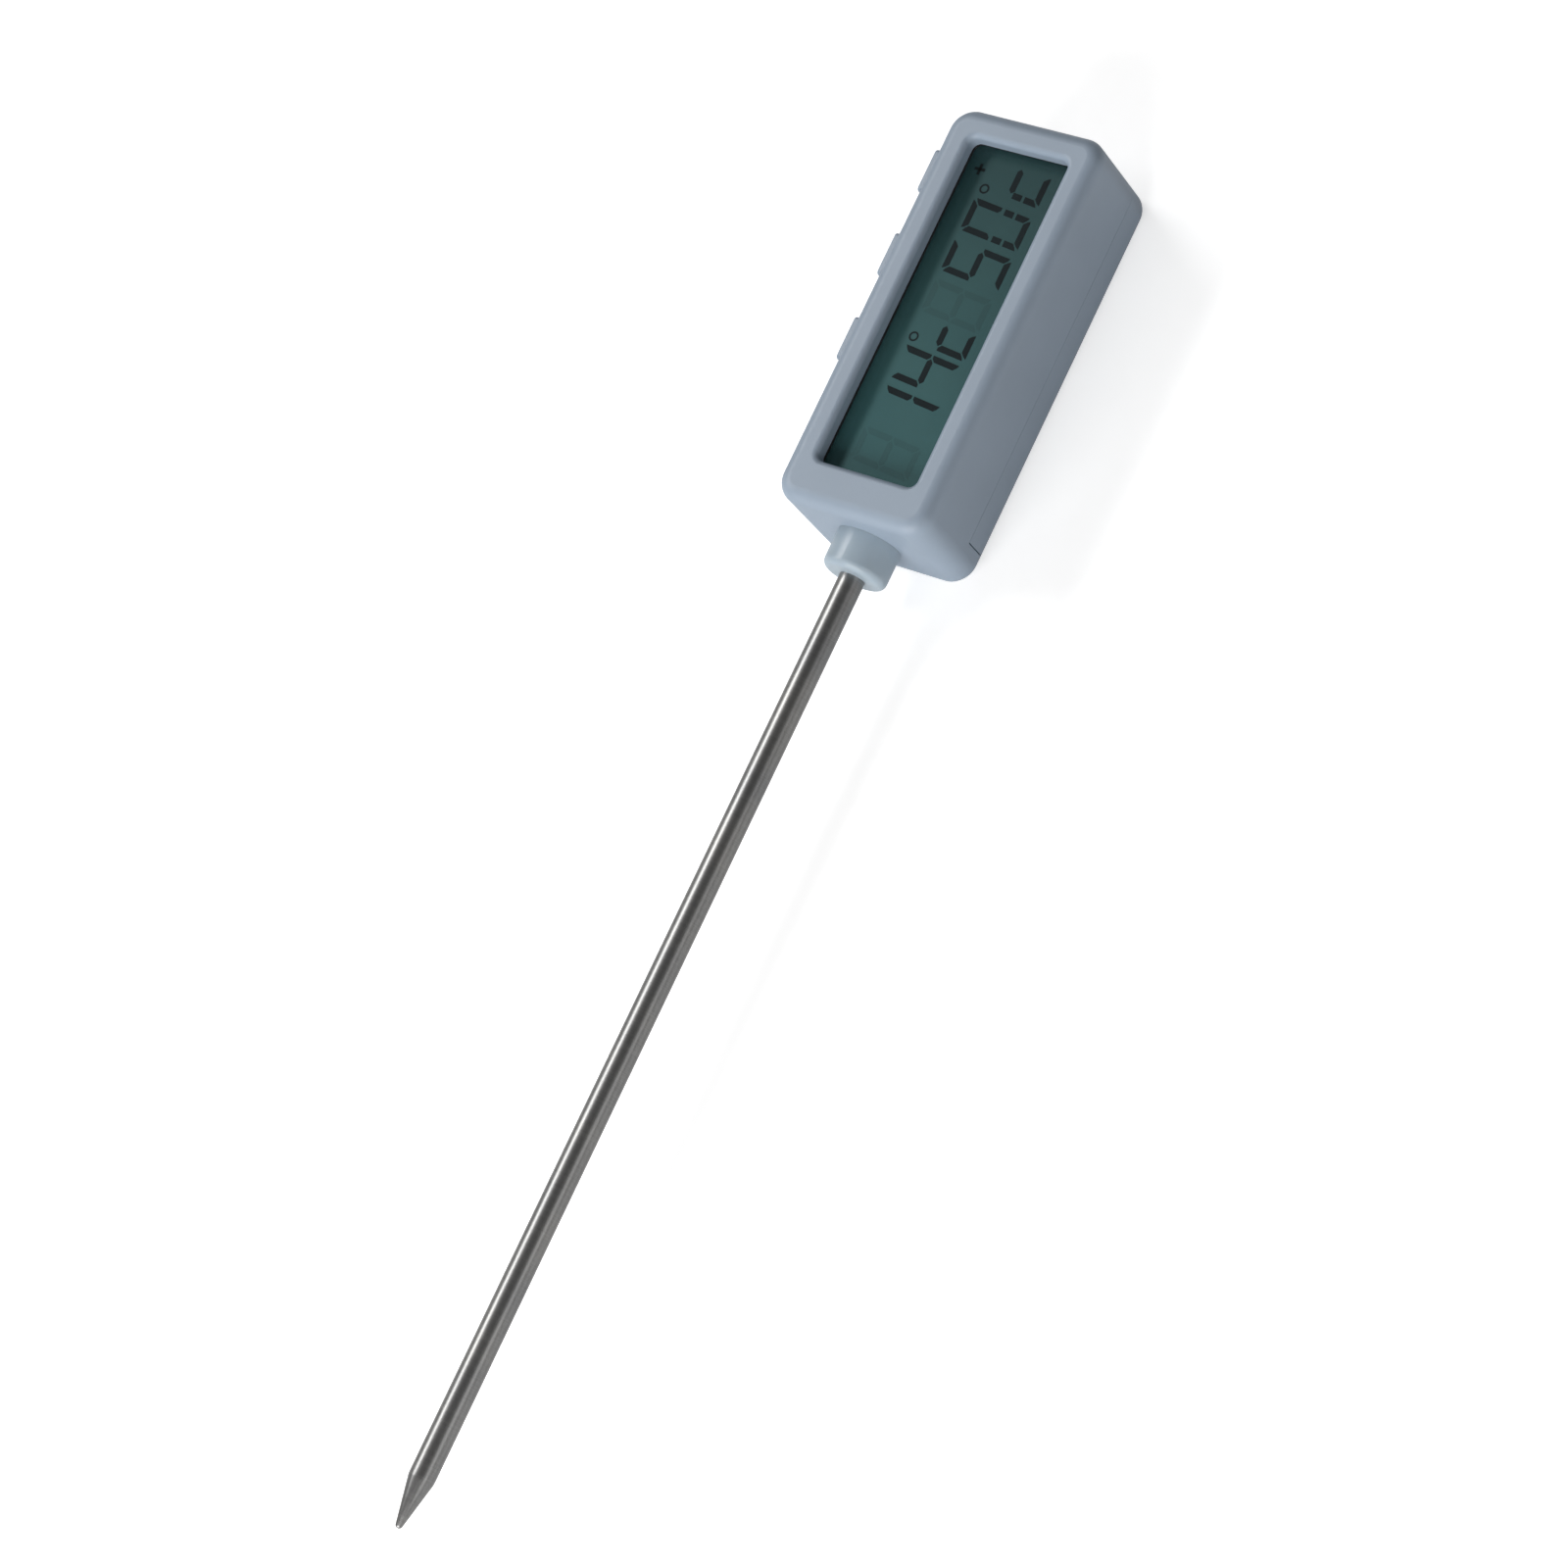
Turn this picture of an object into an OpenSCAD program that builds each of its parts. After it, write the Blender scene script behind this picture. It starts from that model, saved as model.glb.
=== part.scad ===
// Digital soil thermometer lying on its back: a display head with a steel probe stem.
// The origin is the middle of the head's flat back. +Z leaves the front face, the stem
// points along -X, and the three buttons are on the +Y side.

/* [Head] */
// Length of the head, in line with the stem
head_l = 66; // [62:0.1:80]
// Width of the head across the display
head_w = 26.6; // [26:0.1:34]
// Thickness of the head from its back to its front face
head_t = 19.3; // [19:0.1:24]
// Radius of the head's four corners, seen from the front
corner_r = 3.8; // [3:0.1:6]
// Rounding of the edge around the front face
front_r = 2.1; // [0.5:0.1:2.6]
// Rounding of the edge around the back face
back_r = 2.0; // [0.5:0.1:2.6]
// Side and end walls of the head
wall = 1.8; // [1.4:0.1:2.2]
// Wall between the front face and the display window
front_wall = 2.3; // [1.6:0.1:2.8]
// Floor of the head and of its battery door
floor_t = 1.5; // [1:0.1:2]

/* [Display] */
// Bezel between the display opening and the stem end of the head
bezel_stem = 6.9; // [5.6:0.1:10]
// Bezel between the display opening and the far end of the head
bezel_far = 4.6; // [4:0.1:8]
// Bezel on each long side of the display opening
bezel_side = 4.6; // [4.4:0.1:7]
// Corner radius of the display opening
opening_r = 1.3; // [0.5:0.1:3]
// Rounding of the rim where the front face turns into the opening
rim_round = 0.9; // [0.2:0.1:1.2]
// Thickness of the clear window
window_t = 0.8; // [0.5:0.1:1.2]
// How far the clear window reaches behind the bezel at its ends
window_lap = 1.3; // [0.8:0.1:1.3]
// Thickness of each glass plate of the display
glass_t = 0.7; // [0.4:0.1:0.8]
// How far the display glass reaches behind the bezel at its ends
glass_lap = 1.0; // [0.5:0.1:1]
// Width of the contact ledge that the rear glass leaves free
ledge_w = 2.2; // [1.8:0.1:3]

/* [Buttons] */
// Distance from the stem end of the head to the middle of the first button
button_first = 27.2; // [24:0.1:28]
// Distance between neighbouring buttons
button_pitch = 14.3; // [10:0.1:14.5]
// Length of a button along the head
button_l = 7.1; // [5:0.1:8]
// Height of a button across the side wall
button_h = 5.4; // [4:0.1:5.6]
// How far a button stands out of the side wall
button_out = 2; // [1:0.1:3]
// How far a button goes in when it is pressed
button_travel = 0.5; // [0.2:0.05:0.5]
// Corner radius of a button
button_r = 0.8; // [0.4:0.1:1.6]

/* [Stem] */
// Outer diameter of the steel stem
stem_d = 4; // [3:0.1:5]
// Wall of the steel stem
stem_wall = 0.35; // [0.2:0.05:0.5]
// Shoulder of the stem that seats on the collar's end
stem_shoulder = 0.2; // [0.2:0.02:0.3]
// Length of stem that stands out of the collar, tip included
stem_l = 151.8; // [100:0.1:200]
// Length of the pointed tip
tip_l = 7.8; // [6:0.1:12]
// Diameter of the blunt end of the tip
tip_d = 1.1; // [0.9:0.1:1.8]
// Height of the stem's axis above the back of the head
stem_z = 9.5; // [7.7:0.1:9.6]
// Diameter of the plastic collar around the stem
collar_d = 10; // [8:0.1:12]
// Length of the collar outside the head
collar_l = 6; // [4:0.1:10]
// Diameter of the collar's neck through the end wall
neck_d = 5.8; // [5.2:0.1:6]

/* [Battery] */
// Diameter of the AAA cell
cell_d = 10.5; // [9.5:0.1:10.5]
// Length of the AAA cell with its terminal
cell_l = 44.5; // [40:0.1:46]
// Room for the compressed battery spring
spring_l = 5.2; // [4:0.1:6]
// Wire diameter of the battery spring
spring_wire = 0.6; // [0.4:0.05:0.8]
// Turns of the battery spring
spring_turns = 3.5; // [2:0.5:5]

/* [Battery door] */
// Distance from the stem end of the head to the door's seam
door_start = 5.2; // [4.5:0.1:8]
// Height of the door's side walls above the back
door_h = 6; // [5.6:0.1:7.2]
// Open seam at the stem end of the door
door_end_gap = 0.2; // [0.1:0.05:0.4]

/* [Hidden] */
$fn = 48;

// Clearances
fit = 0.1;
slide_gap = 0.05;
rail_gap = 0.15;
cell_gap = 0.25;
stack_gap = 0.1;
// How far a cut reaches past a face, and how far a joined block reaches into its wall
over = 1;
bite = 0.3;

// The head and its inside
x_stem = -head_l / 2;
x_far = head_l / 2;
y_side = head_w / 2;
in_x0 = x_stem + wall;
in_x1 = x_far - wall;
in_y = y_side - wall;
in_r = max(corner_r - wall, 0.5);

// The display opening
open_x0 = x_stem + bezel_stem;
open_x1 = x_far - bezel_far;
open_y = y_side - bezel_side;

// The display stack, from the front wall down
window_top = head_t - front_wall;
window_z = window_top - window_t;
gasket_t = 0.25;
gasket_z = window_z - gasket_t;
polariser_t = 0.2;
front_glass_z = gasket_z - polariser_t - glass_t;
rear_glass_z = front_glass_z - glass_t;
reflector_t = 0.2;
reflector_z = rear_glass_z - reflector_t;
board_top = reflector_z - stack_gap;
board_t = 0.8;
board_z = board_top - board_t;

// The flanges and their switches, from the side wall inwards
flange_t = 0.55;
flange_lap = 0.5;
flange_end_lap = 0.9;
flange_y = in_y - slide_gap;
flange_stop = 0.15;
flange_room = slide_gap + flange_t + button_travel + flange_stop;
cap_root = 0.2;

// Half widths of the display stack, which leaves room for the flanges
frame_wall = 0.45;
frame_y = in_y - flange_room;
glass_y = frame_y - frame_wall - fit;
window_side_gap = 0.25;
window_y = frame_y - window_side_gap;

// The circuit board and the two posts that it is screwed to
board_end_gap = 0.5;
board_side_gap = 1.15;
board_button_gap = 2.15;
board_x0 = in_x0 + board_end_gap;
board_x1 = in_x1 - board_end_gap;
board_y0 = board_side_gap - in_y;
board_y1 = in_y - board_button_gap;
post_d = 3;
post_bite = 0.05;
post_inset = 2.85;
post_x = in_x0 + post_d / 2 - post_bite;
post_y = in_y - post_inset;
screw_d = 1.6;
screw_head_d = 2.8;
screw_head_t = 1;
screw_bite = 2.3;
ear_t = 0.85;
ear_r = 1.35;

// The buttons and their switches
button_rise = 0.05;
button_z = board_z + button_rise;
button_x = [for (i = [0:2]) x_stem + button_first + i * button_pitch];
switch_l = 4.6;
switch_w = 2.6;
switch_h = 2.9;
switch_inset = 3.1;
switch_y = in_y - switch_inset;
plunger_d = 1.5;
plunger_drop = 1.7;
plunger_in = 0.9;
plunger_out = 0.8;
plunger_z = board_z - plunger_drop;
plunger_y0 = switch_y - plunger_in;
plunger_y1 = switch_y + plunger_out;
push_pin_d = 2.2;

// The rails that the battery door slides on
door_x = x_stem + door_start;
rail_t = 1;
rail_z0 = 3;
rail_rise = 1.5;
rail_z1 = door_h + rail_rise;
tongue_z = 3.6;
tongue_h = 0.8;
tongue_out = 0.6;
lip_l = 1.2;
lip_t = 0.7;
lip_inset = 2;
rail_end_gap = 0.5;
rail_x0 = door_x + rail_end_gap;
rail_x1 = in_x1 - in_r - rail_end_gap;

// The battery bay
cell_y = -(in_y - rail_gap - rail_t - cell_gap - cell_d / 2 - fit);
cell_z = floor_t + cell_gap + cell_d / 2;
tray_wall = 0.8;
contact_t = 0.4;
contact_w = 8;
tab_w = 2;
web_t = 0.6;
tray_top = board_z - fit;
tray_z = floor_t + fit + lip_t + fit;
tray_end_gap = 3.8;
tray_x0 = in_x0 + tray_end_gap;
bay_x0 = tray_x0 + tray_wall;
cell_x0 = bay_x0 + contact_t + spring_l;
cell_x1 = cell_x0 + cell_l;
bay_x1 = cell_x1 + contact_t;
bay_y0 = cell_y - cell_d / 2 - cell_gap;
bay_y1 = cell_y + cell_d / 2 + cell_gap;
terminal_d = 3.8;
terminal_l = 0.8;
terminal_bite = 0.1;
sleeve_t = 0.1;
sleeve_inset = 0.4;
hook_w = 5;
hook_y0 = cell_y - hook_w / 2;
hook_y1 = cell_y + hook_w / 2;
hook_in = 0.9;

// The stem
collar_x = x_stem - collar_l;
tip_x = collar_x - stem_l;
cone_x = tip_x + tip_l;
neck_in = 1.8;
tube_out = 0.6;
neck_x1 = in_x0 + neck_in;
tube_x1 = neck_x1 + tube_out;
bore_d = stem_d - 2 * stem_wall;
grip_d = stem_d - 2 * stem_shoulder;
grip_wall = 0.2;
grip_l = tube_x1 - collar_x;
gasket_r = 3.2;
gasket_w = 1.1;
gasket_seat = 0.6;
clip_t = 0.6;
clip_w = 0.7;
bead_d = 1.6;
bead_l = 1.4;
bead_inset = 2.2;
bead_x = cone_x + bead_inset;
filler_l = 6;
lead_d = 0.6;
lead_y = 0.45;
lead_out = 0.7;
lead_x1 = tube_x1 + lead_out;

// A box between two corners
module block(a, b) {
    translate(a) cube(b - a);
}

// A rounded rectangle between two corners
module rounded_2d(x0, x1, y0, y1, r) {
    translate([x0 + r, y0]) square([x1 - x0 - 2 * r, y1 - y0]);
    translate([x0, y0 + r]) square([x1 - x0, y1 - y0 - 2 * r]);
    for (x = [x0 + r, x1 - r], y = [y0 + r, y1 - r]) translate([x, y]) circle(r);
}

module rounded_plate(x0, x1, y0, y1, r, z0, z1) {
    translate([0, 0, z0]) linear_extrude(z1 - z0) rounded_2d(x0, x1, y0, y1, r);
}

// A rounded prism that ends at y1 and is h deep, drawn in X and Z
module side_prism(x, z, l, h, r, y0, y1) {
    translate([x, y1, z]) rotate([90, 0, 0])
        linear_extrude(y1 - y0) rounded_2d(-l / 2, l / 2, -h / 2, h / 2, r);
}

// A cylinder along +X from x0 to x1
module rod_x(x0, x1, d, y, z) {
    translate([x0, y, z]) rotate([0, 90, 0]) cylinder(h = x1 - x0, d = d);
}

// A cylinder along +Y from y0 to y1
module rod_y(y0, y1, d, x, z) {
    translate([x, y0, z]) rotate([-90, 0, 0]) cylinder(h = y1 - y0, d = d);
}

// Places a profile of radius and distance on the stem's axis, counted towards the tip
module on_stem(x) {
    translate([x, 0, stem_z]) rotate([0, -90, 0]) rotate_extrude() children();
}

// A quarter of a disc
module quarter_2d(r) {
    intersection() {
        circle(r);
        square(r);
    }
}

// The section of the head's edge, from the corner's centre out to the side
module edge_2d() {
    square([corner_r - front_r, head_t]);
    square([corner_r - back_r, head_t / 2]);
    translate([0, back_r]) square([corner_r, head_t - front_r - back_r]);
    translate([corner_r - front_r, head_t - front_r]) quarter_2d(front_r);
    translate([corner_r - back_r, back_r]) mirror([0, 1]) quarter_2d(back_r);
}

// The whole head as one rounded solid
module head_solid() {
    cx = head_l / 2 - corner_r;
    cy = head_w / 2 - corner_r;
    block([-cx, -cy, 0], [cx, cy, head_t]);
    translate([-cx, cy, 0]) rotate([90, 0, 90]) linear_extrude(2 * cx) edge_2d();
    translate([cx, -cy, 0]) rotate([90, 0, -90]) linear_extrude(2 * cx) edge_2d();
    translate([cx, cy, 0]) rotate([90, 0, 0]) linear_extrude(2 * cy) edge_2d();
    translate([-cx, -cy, 0]) rotate([90, 0, 180]) linear_extrude(2 * cy) edge_2d();
    for (k = [0:3])
        translate([k == 0 || k == 3 ? cx : -cx, k < 2 ? cy : -cy, 0])
            rotate([0, 0, 90 * k]) rotate_extrude(angle = 90) edge_2d();
}

// The section that the opening's rounded rim cuts, from the corner's centre outwards
module rim_2d() {
    difference() {
        square([opening_r + rim_round, rim_round]);
        translate([opening_r + rim_round, 0]) circle(rim_round);
    }
}

// One side of the rounded rim: l long, with its outside to the left of the way it runs
module rim_side(x, y, turn, l) {
    translate([x, y, head_t - rim_round]) rotate([90, 0, turn]) linear_extrude(l) rim_2d();
}

// The cut that rounds the rim of the display opening
module opening_rim() {
    x0 = open_x0 + opening_r;
    x1 = open_x1 - opening_r;
    y1 = open_y - opening_r;
    rim_side(x0, y1, 90, x1 - x0);
    rim_side(x1, -y1, -90, x1 - x0);
    rim_side(x1, y1, 0, 2 * y1);
    rim_side(x0, -y1, 180, 2 * y1);
    for (k = [0:3])
        translate([k == 0 || k == 3 ? x1 : x0, k < 2 ? y1 : -y1, head_t - rim_round])
            rotate([0, 0, 90 * k]) rotate_extrude(angle = 90) rim_2d();
}

// The part of the head that the battery door takes, grown by a gap
module door_space(end_gap, top_gap) {
    block([door_x + end_gap, -y_side - over, -over],
        [x_far + over, y_side + over, door_h - top_gap]);
}

module cavity(top) {
    rounded_plate(in_x0, in_x1, -in_y, in_y, in_r, floor_t, top);
}

// One rail of the housing, on the +Y side
module rail() {
    block([rail_x0, in_y - rail_gap - rail_t, rail_z0], [rail_x1, in_y - rail_gap, rail_z1]);
    block([rail_x0, in_y - rail_gap - rail_t, door_h], [rail_x1, in_y + bite, rail_z1]);
    block([rail_x0, in_y - rail_gap - bite, tongue_z],
        [rail_x1, in_y + tongue_out, tongue_z + tongue_h]);
}

module front_housing() {
    lip_y = in_y - lip_inset;
    color("#a9b3bf") difference() {
        union() {
            difference() {
                head_solid();
                door_space(0, 0);
                cavity(window_top);
            }
            for (s = [-1, 1]) translate([post_x, s * post_y, board_top])
                cylinder(h = window_top - board_top + bite, d = post_d);
            rail();
            mirror([0, 1, 0]) rail();
            block([in_x0 - bite, -lip_y, floor_t - bite],
                [door_x, lip_y, floor_t + fit + lip_t]);
            block([door_x - lip_l, -lip_y, floor_t + fit],
                [door_x + lip_l, lip_y, floor_t + fit + lip_t]);
        }
        rounded_plate(open_x0, open_x1, -open_y, open_y, opening_r, window_top - over,
            head_t + over);
        opening_rim();
        for (x = button_x)
            side_prism(x, button_z, button_l + 2 * fit, button_h + 2 * fit,
                button_r + fit, in_y - bite, y_side + over);
        rod_x(x_stem - over, in_x0 + over, neck_d, 0, stem_z);
        for (s = [-1, 1]) translate([post_x, s * post_y, board_top - over])
            cylinder(h = over + screw_bite + fit, d = screw_d);
        block([in_x1 - over, hook_y0 - fit, tray_top - web_t - fit],
            [in_x1 + hook_in + fit, hook_y1 + fit, tray_top + fit]);
    }
}

module display_window() {
    color("#dfe8ee", 0.35) rounded_plate(open_x0 - window_lap, open_x1 + window_lap,
        -window_y, window_y, opening_r, window_z, window_top);
}

module window_gasket() {
    back_off = 0.3;
    color("#202224") difference() {
        rounded_plate(open_x0 - window_lap, open_x1 + window_lap, -window_y, window_y,
            opening_r, gasket_z, window_z);
        rounded_plate(open_x0 - back_off, open_x1 + back_off, -open_y - back_off,
            open_y + back_off, opening_r, gasket_z - over, window_z + over);
    }
}

// A plate of the display, as wide as the front glass less a ledge on the -Y side
module display_plate(z, t, ledge) {
    block([open_x0 - glass_lap, ledge - glass_y, z],
        [open_x1 + glass_lap, glass_y, z + t]);
}

module display_polariser() {
    color("#5b7a72") display_plate(gasket_z - polariser_t, polariser_t, 0);
}

module display_front_glass() {
    color("#c8d8d4", 0.6) display_plate(front_glass_z, glass_t, 0);
}

module display_rear_glass() {
    color("#b9ccc7", 0.6) display_plate(rear_glass_z, glass_t, ledge_w);
}

module display_reflector() {
    color("#3d5d58") display_plate(reflector_z, reflector_t, ledge_w);
}

module display_frame() {
    inner_y = glass_y + fit;
    inner_x = glass_lap + fit;
    color("#e8e6df") difference() {
        block([open_x0 - inner_x - frame_wall, -frame_y, board_top],
            [open_x1 + inner_x + frame_wall, frame_y, gasket_z]);
        block([open_x0 - inner_x, -inner_y, board_top - over],
            [open_x1 + inner_x, inner_y, gasket_z + over]);
    }
}

module zebra_strip() {
    strip_w = ledge_w - 0.4;
    strip_inset = 2;
    y0 = fit - glass_y;
    color("#c98a94") block([open_x0 + strip_inset, y0, board_top],
        [open_x1 - strip_inset, y0 + strip_w, front_glass_z]);
}

module circuit_board() {
    board_r = 1;
    color("#2f6b45") difference() {
        rounded_plate(board_x0, board_x1, board_y0, board_y1, board_r, board_z, board_top);
        for (s = [-1, 1]) translate([post_x, s * post_y, board_z - over])
            cylinder(h = board_t + 2 * over, d = screw_d + 2 * fit);
    }
}

module chip_blob() {
    blob_r = 2.4;
    blob_h = 1.2;
    blob_x = open_x0 + 10;
    blob_y = 5;
    dome_r = (blob_r ^ 2 + blob_h ^ 2) / (2 * blob_h);
    color("#1b1b1d") translate([blob_x, blob_y, board_z]) rotate([180, 0, 0])
        rotate_extrude() intersection() {
            translate([0, blob_h - dome_r]) circle(dome_r);
            square([blob_r, blob_h]);
        }
}

module crystal() {
    can_d = 2;
    can_l = 6;
    can_x = open_x0 + 15;
    can_y = 4;
    color("silver") rod_x(can_x, can_x + can_l, can_d, can_y, board_z - can_d / 2);
}

// A row of chip resistors and capacitors under the board
module chip_parts() {
    chip_l = 1.6;
    chip_w = 0.8;
    chip_h = 0.6;
    chip_pitch = 3;
    chip_x = open_x0 + 30;
    chip_y = 3.2;
    color("#6b5b4a") for (i = [0:4])
        block([chip_x + chip_pitch * i, chip_y, board_z - chip_h],
            [chip_x + chip_pitch * i + chip_l, chip_y + chip_w, board_z]);
}

module button_switches() {
    color("#2a2c30") for (x = button_x) difference() {
        block([x - switch_l / 2, switch_y - switch_w, board_z - switch_h],
            [x + switch_l / 2, switch_y, board_z]);
        rod_y(plunger_y0 - button_travel - fit, switch_y + over, plunger_d + 2 * fit, x,
            plunger_z);
    }
}

// A button: its cap in the side wall, the flange that keeps it in and the push pin
module side_button(x) {
    side_prism(x, button_z, button_l, button_h, button_r, flange_y - cap_root,
        y_side + button_out);
    side_prism(x, button_z, button_l + 2 * flange_end_lap, button_h + 2 * flange_lap,
        button_r, flange_y - flange_t, flange_y);
    rod_y(plunger_y1, flange_y - cap_root, push_pin_d, x, plunger_z);
}

module power_button() {
    color("#a3adb9") side_button(button_x[2]);
}

module mode_button() {
    color("#a3adb9") side_button(button_x[1]);
}

module unit_button() {
    color("#a3adb9") side_button(button_x[0]);
}

module plunger(x) {
    color("#e6e6e6") rod_y(plunger_y0, plunger_y1, plunger_d, x, plunger_z);
}

module power_plunger() {
    plunger(button_x[2]);
}

module mode_plunger() {
    plunger(button_x[1]);
}

module unit_plunger() {
    plunger(button_x[0]);
}

module battery_tray() {
    cover_z = 4;
    cover_t = 0.8;
    cover_end_gap = 2;
    outer_y0 = rail_gap - in_y;
    color("#33373c") difference() {
        union() {
            // web over the cell and the hook at the far end
            block([tray_x0, outer_y0, tray_top - web_t],
                [bay_x1 + tray_wall, bay_y1 + tray_wall, tray_top]);
            block([bay_x1, hook_y0, tray_top - web_t], [in_x1 + hook_in, hook_y1, tray_top]);
            // side walls of the bay
            block([tray_x0, outer_y0, rail_z1 + fit], [bay_x1 + tray_wall, bay_y0, tray_top]);
            block([tray_x0, bay_y1, tray_z],
                [bay_x1 + tray_wall, bay_y1 + tray_wall, tray_top]);
            // end walls of the bay
            block([tray_x0, bay_y0, tray_z], [bay_x0, bay_y1, tray_top]);
            block([bay_x1, bay_y0, tray_z], [bay_x1 + tray_wall, bay_y1, tray_top]);
            // cover over the switches
            block([tray_x0, bay_y1, cover_z], [in_x1 - cover_end_gap,
                in_y - rail_gap - rail_t - fit, cover_z + cover_t]);
            // ears for the screws
            for (s = [-1, 1])
                block([post_x - ear_r, s * post_y - ear_r, tray_top - ear_t],
                    [tray_x0 + over, s * post_y + ear_r, tray_top]);
            block([tray_x0, bay_y1, cover_z], [tray_x0 + tray_wall, post_y + ear_r, tray_top]);
        }
        for (s = [-1, 1]) translate([post_x, s * post_y, tray_top - ear_t - over])
            cylinder(h = ear_t + 2 * over, d = screw_d + 2 * fit);
        for (x = [bay_x0, bay_x1 - contact_t])
            block([x - fit, cell_y - tab_w / 2 - fit, tray_top - web_t - over],
                [x + contact_t + fit, cell_y + tab_w / 2 + fit, tray_top + over]);
    }
}

module chassis_screws() {
    shank_l = ear_t + fit + board_t + screw_bite;
    slot_l = 2;
    slot_w = 0.4;
    slot_depth = 0.5;
    color("#c2c6ca") for (s = [-1, 1])
        translate([post_x, s * post_y, tray_top - ear_t]) difference() {
            union() {
                cylinder(h = shank_l, d = screw_d);
                translate([0, 0, -screw_head_t]) cylinder(h = screw_head_t, d = screw_head_d);
            }
            for (a = [0, 90]) rotate([0, 0, a])
                block([-slot_l / 2, -slot_w / 2, -screw_head_t - over],
                    [slot_l / 2, slot_w / 2, slot_depth - screw_head_t]);
        }
}

module battery_cell() {
    color("#c9b27a") union() {
        rod_x(cell_x0, cell_x1 - terminal_l, cell_d - 2 * sleeve_t, cell_y, cell_z);
        rod_x(cell_x1 - terminal_l - terminal_bite, cell_x1, terminal_d, cell_y, cell_z);
    }
}

module battery_sleeve() {
    color("#3d5f8a") difference() {
        rod_x(cell_x0 + sleeve_inset, cell_x1 - terminal_l - sleeve_inset, cell_d, cell_y,
            cell_z);
        rod_x(cell_x0, cell_x1, cell_d - 2 * sleeve_t, cell_y, cell_z);
    }
}

// A coil of round wire: the flat section is stretched along the turn by the pitch
module battery_spring() {
    coil_r = 2.8;
    pitch = spring_l / spring_turns;
    section = [for (t = [0:45:315])
        let (r = coil_r + spring_wire / 2 * cos(t), a = spring_wire / 2 * sin(t) / pitch * 360)
        [r * cos(a), r * sin(a)]];
    color("silver") translate([bay_x0 + contact_t, cell_y, cell_z]) rotate([0, 90, 0])
        linear_extrude(spring_l, twist = -360 * spring_turns, slices = 20 * spring_turns,
            $fn = 8) polygon(section);
}

// A contact plate with the solder tab that reaches the board
module contact_plate(x) {
    block([x, cell_y - contact_w / 2, cell_z - contact_w / 2],
        [x + contact_t, cell_y + contact_w / 2, cell_z + contact_w / 2]);
    block([x, cell_y - tab_w / 2, cell_z], [x + contact_t, cell_y + tab_w / 2, board_z]);
}

module battery_contact_minus() {
    color("silver") contact_plate(bay_x0);
}

module battery_contact_plus() {
    color("silver") contact_plate(cell_x1);
}

module battery_door() {
    groove_l = 9;
    groove_w = 0.8;
    groove_depth = 0.4;
    groove_pitch = 2;
    groove_x = door_x + 5;
    color("#a9b3bf") difference() {
        intersection() {
            head_solid();
            door_space(door_end_gap, slide_gap);
        }
        cavity(head_t);
        for (s = [-1, 1])
            block([door_x, s > 0 ? in_y - over : -in_y - tongue_out - rail_gap,
                    tongue_z - rail_gap],
                [in_x1 - in_r, s > 0 ? in_y + tongue_out + rail_gap : over - in_y,
                    tongue_z + tongue_h + rail_gap]);
        for (i = [0:4])
            block([groove_x + groove_pitch * i, -groove_l / 2, -over],
                [groove_x + groove_pitch * i + groove_w, groove_l / 2, groove_depth]);
    }
}

module stem_collar() {
    rim_r = 1.2;
    r = collar_d / 2;
    bore = grip_d / 2;
    neck_l = neck_in + wall;
    color("#b4bdc8") on_stem(neck_x1) difference() {
        union() {
            translate([bore, 0]) square([neck_d / 2 - bore, neck_l + bite]);
            translate([bore, neck_l]) square([r - bore, collar_l - rim_r]);
            translate([bore, neck_l]) square([r - bore - rim_r, collar_l]);
            translate([r - rim_r, neck_l + collar_l - rim_r]) circle(rim_r);
        }
        translate([gasket_r, neck_l - over]) square([gasket_w, over + gasket_seat]);
    }
}

module stem_gasket() {
    color("#1d1d1f") on_stem(x_stem) translate([gasket_r, 0])
        square([gasket_w, gasket_seat]);
}

module stem_retainer() {
    color("#b9bcc0") on_stem(in_x0 + clip_t) translate([neck_d / 2, 0])
        square([clip_w, clip_t]);
}

// The stem: a straight tube with a thinner end in the collar and a closed, blunt cone
module stem_tube() {
    straight = tube_x1 - cone_x;
    end = straight + tip_l;
    r = stem_d / 2;
    grip_r = grip_d / 2;
    bore_r = bore_d / 2;
    grip_bore_r = grip_r - grip_wall;
    tip_r = tip_d / 2;
    tip_flat_r = 0.6 * tip_r;
    tip_solid = 2;
    tip_bore_r = 0.3;
    color("#b5b8bb") on_stem(tube_x1) difference() {
        polygon([[0, 0], [grip_r, 0], [grip_r, grip_l], [r, grip_l], [r, straight],
            [tip_r, end - tip_r / 2], [tip_flat_r, end], [0, end]]);
        polygon([[-over, -over], [grip_bore_r, -over], [grip_bore_r, grip_l + over],
            [bore_r, grip_l + over], [bore_r, straight], [tip_bore_r, end - tip_solid],
            [-over, end - tip_solid]]);
    }
}

module thermistor_bead() {
    color("#2b2b2b") union() {
        translate([bead_x, 0, stem_z]) sphere(d = bead_d);
        rod_x(bead_x, bead_x + bead_l, bead_d, 0, stem_z);
    }
}

module tip_filler() {
    color("#d9d4c6") difference() {
        on_stem(cone_x + filler_l) square([bore_d / 2, filler_l]);
        translate([bead_x, 0, stem_z]) sphere(d = bead_d);
        rod_x(bead_x, bead_x + bead_l, bead_d, 0, stem_z);
        for (s = [-1, 1]) rod_x(bead_x + bead_l - fit, cone_x + filler_l + over, lead_d,
            s * lead_y, stem_z);
    }
}

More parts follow.
